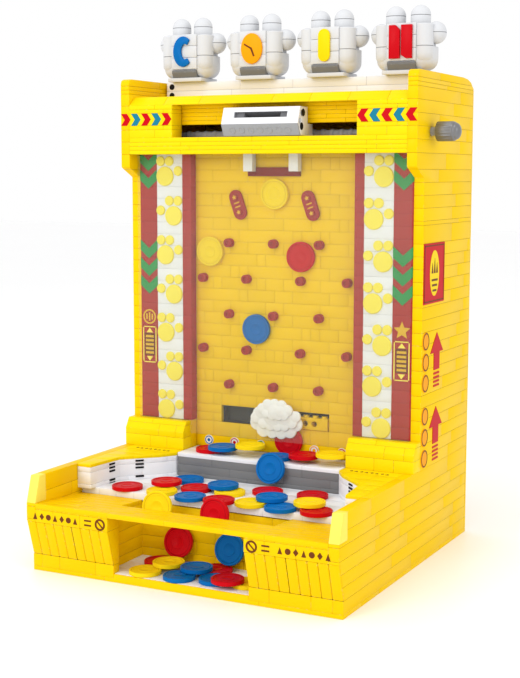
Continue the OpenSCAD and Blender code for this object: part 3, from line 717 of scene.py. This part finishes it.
# ---- strip prints ----
# Green arrow-heads run down the outer red bands, over a round or starred badge and a framed
# panel with two triangles and a stack of bars.
ARROW = [(-8, 0), (0, -7), (8, 0), (8, -8.6), (0, -15.6), (-8, -8.6)]
HOOP = [(4.9, 0), (6.2, 0), (6.2, 0.4), (4.9, 0.4), (4.9, 0)]
arrows = new_shape()
badges = new_shape()
frames = new_shape()
darks = new_shape()
for side in (-1, 1):
    middle = 112 * side
    for top in (244.4, 229.8, 215.2, 301.8, 316.2):
        outline = [(middle + a, top + b) for a, b in ARROW]
        prism(arrows, outline, Y, strip_y - 0.3, strip_y)
    z = 180.5
    if side < 0:
        turned(badges, HOOP, (middle, strip_y, z), Y, 32)
        for dx, half in ((-2.6, 2.4), (0, 3.6), (2.6, 2.4)):
            block(badges, (middle + dx - 0.7, strip_y - 0.4, z - half),
                  (middle + dx + 0.7, strip_y, z + half))
    else:
        prism(badges, star_of(middle, z, 7.0, 3.2), Y, strip_y - 0.4, strip_y)
    top_z, foot_z, half = 172.4, 142.0, 6.4
    for low, high in (((-half + 1, foot_z), (half - 1, foot_z + 0.8)),
                      ((-half + 1, top_z - 0.8), (half - 1, top_z)),
                      ((-half, foot_z + 1), (-half + 0.8, top_z - 1)),
                      ((half - 0.8, foot_z + 1), (half, top_z - 1))):
        block(frames, (middle + low[0], strip_y - 0.4, low[1]),
              (middle + high[0], strip_y, high[1]))
    for tip, foot in ((171, 167.2), (143.4, 147.2)):
        prism(frames, [(middle, tip), (middle + 3, foot), (middle - 3, foot)], Y,
              strip_y - 0.4, strip_y)
    block(darks, (middle - 4.8, strip_y - 0.2, 148), (middle + 4.8, strip_y, 166.6))
    for k in range(5):
        block(badges, (middle - 3.8, strip_y - 0.4, 149.4 + 3.4 * k),
              (middle + 3.8, strip_y, 151.3 + 3.4 * k))
for shape, name, finish in ((arrows, "strip_arrows", green), (badges, "strip_badges", gold),
                            (frames, "strip_frames", highlight_and_print_yellow),
                            (darks, "strip_panel_grounds", brown)):
    keep(shape, name, "cabinet", finish)

# ---- window pane ----
# Clear sheets in front of the board and the strips. They take a pale sheen from the room and
# their butted edges show as thin bright lines.
clear = Finish("clear_plastic")
place = clear.node("TexCoord", out="Object")
smear = clear.node("TexNoise", feeds={"Vector": place, "Scale": 9.0, "Detail": 4.0})
gloss = clear.node("BsdfPrincipled", feeds={"Base Color": (0.95, 0.94, 0.88, 1),
                                            "Roughness": 0.12 + smear * 0.08})
through = clear.node("BsdfTransparent", feeds={"Color": (0.945, 0.95, 0.93, 1)})
cover = 0.02 + smear * 0.03
window = clear.show(clear.node("MixShader", feeds={0: cover, 1: through, 2: gloss}))
pane = lay(node_shape("window_pane"), Z, X, [], (40,), 131, width=0.35)
keep(pane, "window_sheets", "cabinet", window, "window_pane", slot="clear_plastic")

# ---- pusher ----
# The moving shelf: a deck of white tiles on a grey brick riser, with side walls that run in
# the guides. It slides to and fro over the playfield.
mid_grey = moulded("mid_grey_plastic", (0.19, 0.192, 0.195))
shelf = lay(node_shape("pusher_deck"), Y, X, every(2 * STUD, -8, 90), (4, 6), 141, width=0.22)
keep(shelf, "pusher_tiles", "pusher", white, "pusher_deck", slot="white_plastic")
riser = lay(node_shape("pusher_riser"), Z, X, [57.9, 64.2], (4, 6, 8), 142, width=0.25)
keep(riser, "pusher_riser_bricks", "pusher", mid_grey, "pusher_riser", slot="dark_grey_plastic")

# ---- inside works ----
# The rack, gears, motor, guides, screw and battery box are plain mouldings, set inside the
# cabinet and left as they come from the mould.
light_grey = moulded("light_grey_plastic", (0.34, 0.345, 0.35))
dark_grey = moulded("dark_grey_plastic", (0.075, 0.08, 0.085), rough=0.34)
dark_red = moulded("dark_red_plastic", (0.22, 0.012, 0.01))
for node, finish in (("pusher_guides", yellow), ("slider_guide", dark_grey),
                     ("drive_frame", light_grey), ("motor_body", light_grey),
                     ("battery_box", dark_grey), ("battery_lid", dark_grey),
                     ("pusher_rack", light_grey),
                     ("drive_axle", dark_grey), ("drive_gear", light_grey),
                     ("motor_gear", dark_grey), ("lead_screw", light_grey),
                     ("screw_nut", light_grey), ("chute_guides", white), ("drop_bar", dark_red)):
    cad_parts[node].data.materials.clear()
    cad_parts[node].data.materials.append(finish)

# ---- coin carriage ----
# A white carriage with a coin slot in its sloped face rides across the header. A grey grille
# with seven round dimples hangs below the slot, and its right end has two pin holes.
carriage = soften(node_shape("carriage_body"), 0.5, 3)
seam_shade = carriage.verts.layers.float["seam_shade"]
carriage_end = span("carriage_body")[1]
# The inside of the coin slot is marked so that the material darkens it with painted shade.
for vert in carriage.verts:
    slope_y = head_low.y - 4 + (vert.co.z - (carriage_end.z - 13)) * 4.5 / 13
    inside = abs(vert.co.x) < 23.4 and vert.co.y > slope_y + 0.8
    vert[seam_shade] = float(inside and vert.co.z < carriage_end.z - 3)
keep(carriage, "carriage_shell", "carriage", white, "carriage_body", slot="white_plastic")
grille_low, grille_high = span("carriage_grille")
lip_y, tilt = grille_low.y, math.atan2(4.4, 8.9)
grille = new_shape()
outline = [(lip_y + 4.4, grille_low.z), (lip_y, grille_high.z),
           (lip_y + 1.5, grille_high.z), (lip_y + 5.9, grille_low.z)]
prism(grille, outline, X, grille_low.x, grille_high.x)
keep(soften(grille, 0.15, 2), "carriage_grille_tile", "carriage", light_grey, "carriage_grille",
     slot="light_grey_plastic")
DIMPLE = [(0, 0.12), (1.7, 0.12), (2.1, 0.5), (2.6, 0.5), (2.9, 0.1), (2.9, 0), (0, 0)]
dimples = new_shape()
for k in range(-3, 4):
    dimple = new_shape()
    turned(dimple, DIMPLE, (0, 0, 0), Y, 24)
    place = Matrix.Translation((8 * k, lip_y + 2.2, grille_low.z + 4.45))
    bmesh.ops.transform(dimple, matrix=place @ Matrix.Rotation(tilt, 4, "X"), verts=dimple.verts)
    add(dimples, dimple)
keep(dimples, "carriage_grille_dimples", "carriage", light_grey)

# The two pin holes are flat black discs of painted shade.
holes = new_shape()
for y, z in ((6.2, 345), (3.2, 334.5)):
    turned(holes, [(0, 0), (2.9, 0), (2.9, 0.15), (0, 0.15)], (carriage_end.x, y, z), X, 24)
keep(holes, "carriage_pin_hole_shade", "carriage", gap_and_hole_shade)

# ---- knob ----
# A ribbed grip with a domed cap, both coated silver, pressed onto the end of the screw
# outside the right wall.
silver = moulded("silver_coat", (0.2, 0.2, 0.205), seam_shade_colour=(0.03, 0.03, 0.032, 1), rough=0.3,
                 metallic=0.6, shine=0.5)
grip = soften(node_shape("knob_grip"), 0.25, 2, 0.6)
keep(grip, "knob_ribbed_grip", "knob", silver, "knob_grip", slot="dark_grey_plastic")
cap_low, cap_high = span("knob_cap")
axis_y, axis_z = (cap_low.y + cap_high.y) / 2, (cap_low.z + cap_high.z) / 2
knob_r = (cap_high.z - cap_low.z) / 2
cap = new_shape()
dome = [(0, 0), (knob_r, 0), (knob_r, 0.9), (knob_r - 0.5, 1.7)]
dome += [((knob_r - 0.9) * math.cos(a * math.pi / 16), 2 + 4 * math.sin(a * math.pi / 16))
         for a in range(9)]
turned(cap, dome, (cap_low.x, axis_y, axis_z), X, 40)
keep(cap, "knob_dome", "knob", silver, "knob_cap", slot="silver_plastic")

# ---- cloud ----
# Three scalloped white layers, each a cluster of round plates, on a yellow slider with studs
# and two pin holes. It slides along the slot in the board.
bright_white = moulded("bright_white_plastic", (0.93, 0.94, 0.95), seam_shade_colour=(0.3, 0.3, 0.3, 1))
cloud_back = span("cloud")[1].y
cloud = new_shape()
layers = (
    (3.6, [(-12.5, 99, 6.2), (-7, 93.6, 6), (1, 92.6, 5.4), (9, 92.8, 5.6), (16.5, 94.6, 6),
           (21.8, 100.4, 6), (-10, 106, 6.4), (-2, 103, 9), (8, 103, 9), (16, 104, 8)]),
    (5.2, [(-13, 103.2, 4.6), (-6.6, 99.2, 4.6), (0, 98, 4.4), (6.4, 98, 4.4), (12.8, 98.8, 4.6),
           (19.2, 101.6, 4.8), (22.4, 106.6, 4.6), (-8, 108, 5.4), (2, 106, 8.4), (12, 107, 8)]),
    (6.8, [(-6.4, 111.4, 4.4), (-1.6, 114.8, 4.6), (4.6, 115.6, 4.4), (10.8, 114.8, 4.6),
           (16, 111.4, 4.6), (-3, 107.6, 3.8), (2.4, 106.4, 3.8), (8, 106.4, 3.8),
           (13.4, 107.2, 3.8), (4.6, 110, 6), (10, 110, 5)]))
for depth, lobes in layers:
    for k, (x, z, radius) in enumerate(lobes):
        shift = depth + 0.02 * k
        rim = [(0, 0), (radius, 0), (radius, 1.2), (radius - 0.2, 1.55), (radius - 0.6, 1.75),
               (0, 1.75)]
        turned(cloud, rim, (x, cloud_back - shift, z), Y, 28)
block(cloud, (1, cloud_back - 3.7, 97.6), (9, cloud_back, 104.6))
keep(cloud, "cloud_layers", "cloud_slider", bright_white, "cloud", slot="white_plastic")
slider = soften(node_shape("cloud_slider"), 0.3, 2, 0.6)
keep(slider, "cloud_slider_brick", "cloud_slider", yellow, "cloud_slider", slot="yellow_plastic")

# ---- roof tray ----
# A long white plinth of tiles stands on the roof under the figures, with two pin holes in
# the left end of its front.
tray_low, tray_high = span("roof_tray")
plinth = new_shape()
block(plinth, tray_low, tray_high)
plinth = lay(plinth, Z, X, [roof - 7], (6, 8), 151, width=0.3)
# The two pin holes are flat black discs of painted shade.
pin_holes = new_shape()
for z in (-3.5, -10.6):
    spot = (tray_low.x + 5, tray_low.y, roof + z)
    turned(pin_holes, [(0, 0), (2.4, 0), (2.4, 0.2), (0, 0.2)], spot, Y, 20)
keep(pin_holes, "plinth_pin_hole_shade", "cabinet", gap_and_hole_shade)
keep(plinth, "roof_plinth", "cabinet", white, "roof_tray", slot="white_plastic")

# ---- paw figures ----
# Four raised paws built of rounded white bricks: a bowl-shaped palm in two halves, round
# columns beside a flat sign plate, two upper toes and two side toes.
PAW_REACH = 30.8
SIGN_STEP = 14
# A greyer copy of the white plastic with painted shade, so the figures read against the pale
# backdrop.
shaded_figure_white = moulded("shaded_figure_white_plastic", (0.66, 0.67, 0.69), seam_shade_colour=(0.08, 0.08, 0.09, 1))
paws_low, paws_high = span("paw_figures")
pitch = (paws_high.x - paws_low.x - 2 * PAW_REACH) / 3
paw_y = span("paw_signs")[1].y + SIGN_STEP
paws = new_shape()
feet = new_shape()


def rounded_block(low, high, sides, ends, steps=6):
    """A block whose upright edges are rounded by sides, and its bottom by ends."""
    part = new_shape()
    block(part, low, high)
    upright = [e for e in part.edges if abs(e.verts[0].co.z - e.verts[1].co.z) > 0.1]
    bmesh.ops.bevel(part, geom=upright, offset=sides, offset_type="OFFSET", segments=steps,
                    profile=0.5, affect="EDGES", clamp_overlap=True, material=-1)
    for level, amount in ((low[2], ends[0]), (high[2], ends[1])):
        around = [e for e in part.edges if all(abs(v.co.z - level) < 0.01 for v in e.verts)]
        bmesh.ops.bevel(part, geom=around, offset=amount, offset_type="OFFSET",
                        segments=steps if amount > 1 else 2, profile=0.5, affect="EDGES",
                        clamp_overlap=True, material=-1)
    return part


def paw():
    figure = new_shape()
    add(figure, rounded_block((-23.4, -12.4, 3.0), (23.4, 13, 21), 9.5, (8.5, 0.35)))
    add(figure, rounded_block((-21, -11.4, 21), (21, 12.4, 38), 8, (0.35, 1.6)))
    for side in (-1, 1):
        column = [(0, 9), (5, 9.4), (7, 12), (7.3, 16), (7.3, 20.7), (7.0, 21), (7.3, 21.3),
                  (7.3, 37.2), (6.8, 37.8), (0, 37.8)]
        turned(figure, column, (15.8 * side, -6.4, 0), Z, 28)
        arc = [(7.8 * math.cos(a * math.pi / 16), 45.2 + 7.8 * math.sin(a * math.pi / 16))
               for a in range(9)]
        upper_toe = [(0, 36), (7.8, 36), (7.8, 44.6), (7.6, 44.9), (7.8, 45.2)] + arc[1:]
        turned(figure, upper_toe, (10.2 * side, 1, 0), Z, 30)
        ball = [(8.2 * math.cos(a * math.pi / 16), 31.5 + 8.6 * math.sin(a * math.pi / 16))
                for a in range(-8, 9)]
        ball[8:9] = [(8.2, 31.2), (8.0, 31.5), (8.2, 31.8)]
        turned(figure, ball, (22.4 * side, 2, 0), Z, 30)
    # The joint lines of the figure are darkened with painted shade, so its bricks stand apart
    # against the pale backdrop.
    seam_shade = figure.verts.layers.float["seam_shade"]
    for vert in figure.verts:
        vert[seam_shade] = float(any(abs(vert.co.z - level) < 0.05 for level in (3, 21, 38, 31.5, 44.9)))
    plate = new_shape()
    for low, high in ((10.2, 19.4), (19.6, 29.0), (29.2, 38.4)):
        block(plate, (-11.9, -13.95, low), (11.9, -9, high))
    add(figure, soften(plate, 0.3, 2))
    base = new_shape()
    block(base, (-16, -13, 0.1), (16, 14, 3.2))
    add(figure, soften(base, 0.35, 2))
    return figure


for k in range(4):
    spot = Matrix.Translation(((k - 1.5) * pitch, paw_y, roof))
    figure = paw()
    bmesh.ops.transform(figure, matrix=spot, verts=figure.verts)
    add(paws, figure)
    foot = new_shape()
    prism(foot, [(-14.2, 9.4), (-14.2, 7.6), (-12.2, 3.2), (-7, 3.2), (-7, 9.4)], X, -11.4, 11.4)
    soften(foot, 0.3, 2)
    bmesh.ops.transform(foot, matrix=spot, verts=foot.verts)
    add(feet, foot)
keep(paws, "paw_figure_bricks", "cabinet", shaded_figure_white, "paw_figures", slot="white_plastic")
keep(feet, "paw_figure_feet", "cabinet", mid_grey)

# ---- paw signs ----
# On the sign plates: a blue crescent, an orange dial with two hands, a yellow bar and a pair
# of red bars, each made of flat tiles.
sign_y = paw_y - SIGN_STEP
sign_z = roof + 24.3


def sign(name, finish, outlines, rounding=0.5):
    marks = new_shape()
    for outline in outlines:
        prism(marks, outline, Y, sign_y - 2.2, sign_y)
    return keep(soften(marks, rounding, 2), name, "cabinet", finish, "paw_signs",
                slot="blue_plastic")


places = [(k - 1.5) * pitch for k in range(4)]
open_side = math.radians(48)
crescent = ring_of(places[0], sign_z, 12.4, 22, open_side, math.tau - 2 * open_side, 0.74)
inner_side = math.radians(58)
crescent += reversed(ring_of(places[0] + 1.9, sign_z, 6.2, 14, inner_side,
                             math.tau - 2 * inner_side, 0.6))
sign("crescent_sign", blue, [crescent])
sign("dial_sign", orange, [ring_of(places[1], sign_z, 12.2, 40, squeeze=0.78)])
bar = ring_of(places[2], sign_z + 7.6, 5, 12, 0, math.pi)
bar += ring_of(places[2], sign_z - 7.6, 5, 12, math.pi, math.pi)
sign("bar_sign", lit_yellow, [bar])
x = places[3]
left_bar = [(x - 9.4, 12.6), (x - 4.2, 12.6), (x - 0.5, 9), (x - 0.5, -12.6), (x - 9.4, -12.6)]
right_bar = [(x + 0.5, 12.6), (x + 9.4, 12.6), (x + 9.4, -12.6), (x + 4.6, -12.6), (x + 0.5, -10)]
pair = [[(a, sign_z + b) for a, b in half] for half in (left_bar, right_bar)]
sign("pair_sign", red, pair, 0.3)
hands = new_shape()
for outline in ([(-6.4, 4.2), (-6.4, 3), (-0.6, -0.4), (0.4, 0.6)],
                [(-0.8, 0), (0.6, 0.6), (3.2, -6), (1.8, -6.4)]):
    prism(hands, [(places[1] + a, sign_z + b) for a, b in outline], Y, sign_y - 2.45, sign_y - 2.1)
keep(hands, "dial_hands", "cabinet", brown)

# ---- side prints ----
# Printed tiles on the right wall: a red square with a plain yellow crest, six ringed discs,
# and two arrows trailing bars.
DISC = [(0, 0), (7, 0), (7, 0.45), (6.8, 0.6), (0, 0.6)]
DISC_RING = [(5.6, 0.55), (6.6, 0.55), (6.6, 0.75), (5.6, 0.75), (5.6, 0.55)]
token_yellow = moulded("token_yellow_plastic", (0.90, 0.66, 0.008), seam_shade_colour=(0.5, 0.3, 0.01, 1))
wall_x = tower_high.x
square = new_shape()
block(square, (wall_x - 0.2, 17, 200.4), (wall_x + 0.5, 63, 246.4))
keep(soften(square, 0.2, 1), "side_square", "cabinet", red, "side_graphics", slot="red_plastic")
crest = new_shape()
prism(crest, ring_of(40, 223.4, 17.5, 36, squeeze=0.58), X, wall_x + 0.45, wall_x + 0.7)
bars = new_shape()
for k, half in enumerate((6.6, 5.6, 4.2)):
    block(bars, (wall_x + 0.6, 40 - half, 217.4 - 4 * k), (wall_x + 0.85, 40 + half, 219 - 4 * k))
for dy in (-5, 0, 5):
    top_z = 235 - abs(dy) * 0.7
    prism(bars, [(40 + dy - 1.9, 223.4), (40 + dy, top_z), (40 + dy + 1.9, 223.4)], X,
          wall_x + 0.6, wall_x + 0.85)
for low, high in (((18.4, 201.8), (61.6, 202.7)), ((18.4, 244.1), (61.6, 245)),
                  ((18.4, 201.8), (19.3, 245)), ((60.7, 201.8), (61.6, 245))):
    block(bars, (wall_x + 0.45, low[0], low[1]), (wall_x + 0.7, high[0], high[1]))
keep(bars, "side_crest_bars", "cabinet", brown)
keep(crest, "side_crest", "cabinet", token_yellow)
marks = new_shape()
for tip_y, tip_z in ((49, 177), (49, 119)):
    prism(marks, [(tip_y, tip_z), (tip_y + 14.4, tip_z - 15.5), (tip_y - 14.4, tip_z - 15.5)], X,
          wall_x - 0.1, wall_x + 0.4)
    block(marks, (wall_x - 0.1, tip_y - 6.4, tip_z - 29), (wall_x + 0.4, tip_y + 6.4, tip_z - 15.4))
    for k in range(4):
        block(marks, (wall_x - 0.1, tip_y - 6.4, tip_z - 32.6 - 3.2 * k),
              (wall_x + 0.4, tip_y + 6.4, tip_z - 31 - 3.2 * k))
keep(marks, "side_arrows", "cabinet", red)
discs = new_shape()
rings = new_shape()
for z in (172.3, 156.2, 140.1, 114.6, 98.2, 81.8):
    turned(discs, DISC, (wall_x, 24, z), X, 32)
    turned(rings, DISC_RING, (wall_x, 24, z), X, 32)
for shape, name, finish, nodes in ((discs, "side_discs", orange, ("side_rings",)),
                                   (rings, "side_disc_rings", brown, ())):
    keep(shape, name, "cabinet", finish, *nodes)

# ---- front prints ----
# On each front panel a ring with a bar across it, two short bars and a row of plain shapes,
# all printed in brown on smooth tiles.
BAN = [(3.0, 0), (4.4, 0), (4.4, 0.3), (3.0, 0.3), (3.0, 0)]
SLASH = [(-2.6, 1.9), (-1.9, 2.6), (2.6, -1.9), (1.9, -2.6)]
bans = new_shape()
row_z = 44.3
for side in (-1, 1):
    spot = (62.2 * side, front_y, row_z)
    turned(bans, BAN, spot, Y, 32)
    prism(bans, [(spot[0] + a, row_z + b) for a, b in SLASH], Y, front_y - 0.3, front_y)
    for k in range(7):
        x = side * (84 + 6 * k)
        if k % 3 == 0:
            outline = [(x - 1.8, row_z - 2.4), (x + 1.8, row_z - 2.4), (x, row_z + 2.4)]
        elif k % 3 == 1:
            outline = ring_of(x, row_z, 2.2, 16)
        else:
            outline = [(x - 2, row_z), (x, row_z - 2.6), (x + 2, row_z), (x, row_z + 2.6)]
        prism(bans, outline, Y, front_y - 0.2, front_y + 0.1)
    for z in (row_z - 1.7, row_z + 1.7):
        block(bans, (side * 73 - 3, front_y - 0.2, z - 0.6),
              (side * 73 + 3, front_y + 0.1, z + 0.6))
keep(bans, "front_prints", "cabinet", brown, "front_discs", slot="brown_plastic")

# ---- coins ----
# Plastic tokens: a raised rim with a fine bead inside it and a shallow dished middle, the
# same on both faces. One is placed where each token of the frame lies.
token_face = [(0, 1.2), (3.6, 1.2), (3.9, 1.4), (4.9, 1.4), (5.2, 1.1), (8.9, 1.1), (9.2, 1.35),
              (9.9, 1.35), (10.2, 1.15), (10.5, 1.55), (11.6, 1.6), (12, 1.3)]


def token(shape, centre, normal):
    part = new_shape()
    down = [(radius, -height) for radius, height in reversed(token_face)]
    turned(part, token_face + down, (0, 0, 0), Z, 44)
    tone = part.verts.layers.float["tone"]
    seam_shade = part.verts.layers.float["seam_shade"]
    value = random.Random(int(centre.x * 7 + centre.y * 13)).random()
    for vert in part.verts:
        vert[tone] = value
        # A thin ring in the groove between the rim and the bead is darkened with painted shade.
        vert[seam_shade] = 0.45 * float(10.1 < vert.co.xy.length < 10.3)
    turn = Vector((0, 0, 1)).rotation_difference(normal).to_matrix().to_4x4()
    bmesh.ops.transform(part, matrix=Matrix.Translation(centre) @ turn, verts=part.verts)
    add(shape, part)


def islands(shape):
    """The separate solids of a shape, as lists of faces."""
    left = set(shape.faces)
    while left:
        group, front = [], [left.pop()]
        while front:
            face = front.pop()
            group.append(face)
            for edge in face.edges:
                for other in edge.link_faces:
                    if other in left:
                        left.discard(other)
                        front.append(other)
        yield group


for node, finish in (("coins_red", red), ("coins_blue", blue), ("coins_yellow", token_yellow)):
    tokens = new_shape()
    laid = node_shape(node)
    for group in islands(laid):
        spots = [v.co for face in group for v in face.verts]
        middle = Vector([(min(s[i] for s in spots) + max(s[i] for s in spots)) / 2
                         for i in range(3)])
        broadest = max(group, key=lambda face: face.calc_area())
        normal = broadest.normal if broadest.normal.z >= -0.01 else -broadest.normal
        token(tokens, middle, normal)
    laid.free()
    keep(tokens, node + "_tokens", "cabinet", finish, node)

# ---- table ----
# A pale seamless table top with a barely uneven sheen, which the machine stands on. It is
# not part of the machine.
table = Finish("table_top")
place = table.node("TexCoord", out="Object")
mottle = table.node("TexNoise", feeds={"Vector": place, "Scale": 2.0, "Detail": 3.0})
top_shader = table.node("BsdfPrincipled", feeds={
    "Base Color": table.blend(mottle, (0.975, 0.975, 0.98, 1), (0.995, 0.995, 0.995, 1)),
    "Roughness": 0.45 + mottle * 0.1})
top = bmesh.new()
bmesh.ops.create_grid(top, x_segments=1, y_segments=1, size=6)
mesh = bpy.data.meshes.new("table")
top.to_mesh(mesh)
top.free()
mesh.materials.append(table.show(top_shader))
table_piece = bpy.data.objects.new("table", mesh)
scene.collection.objects.link(table_piece)
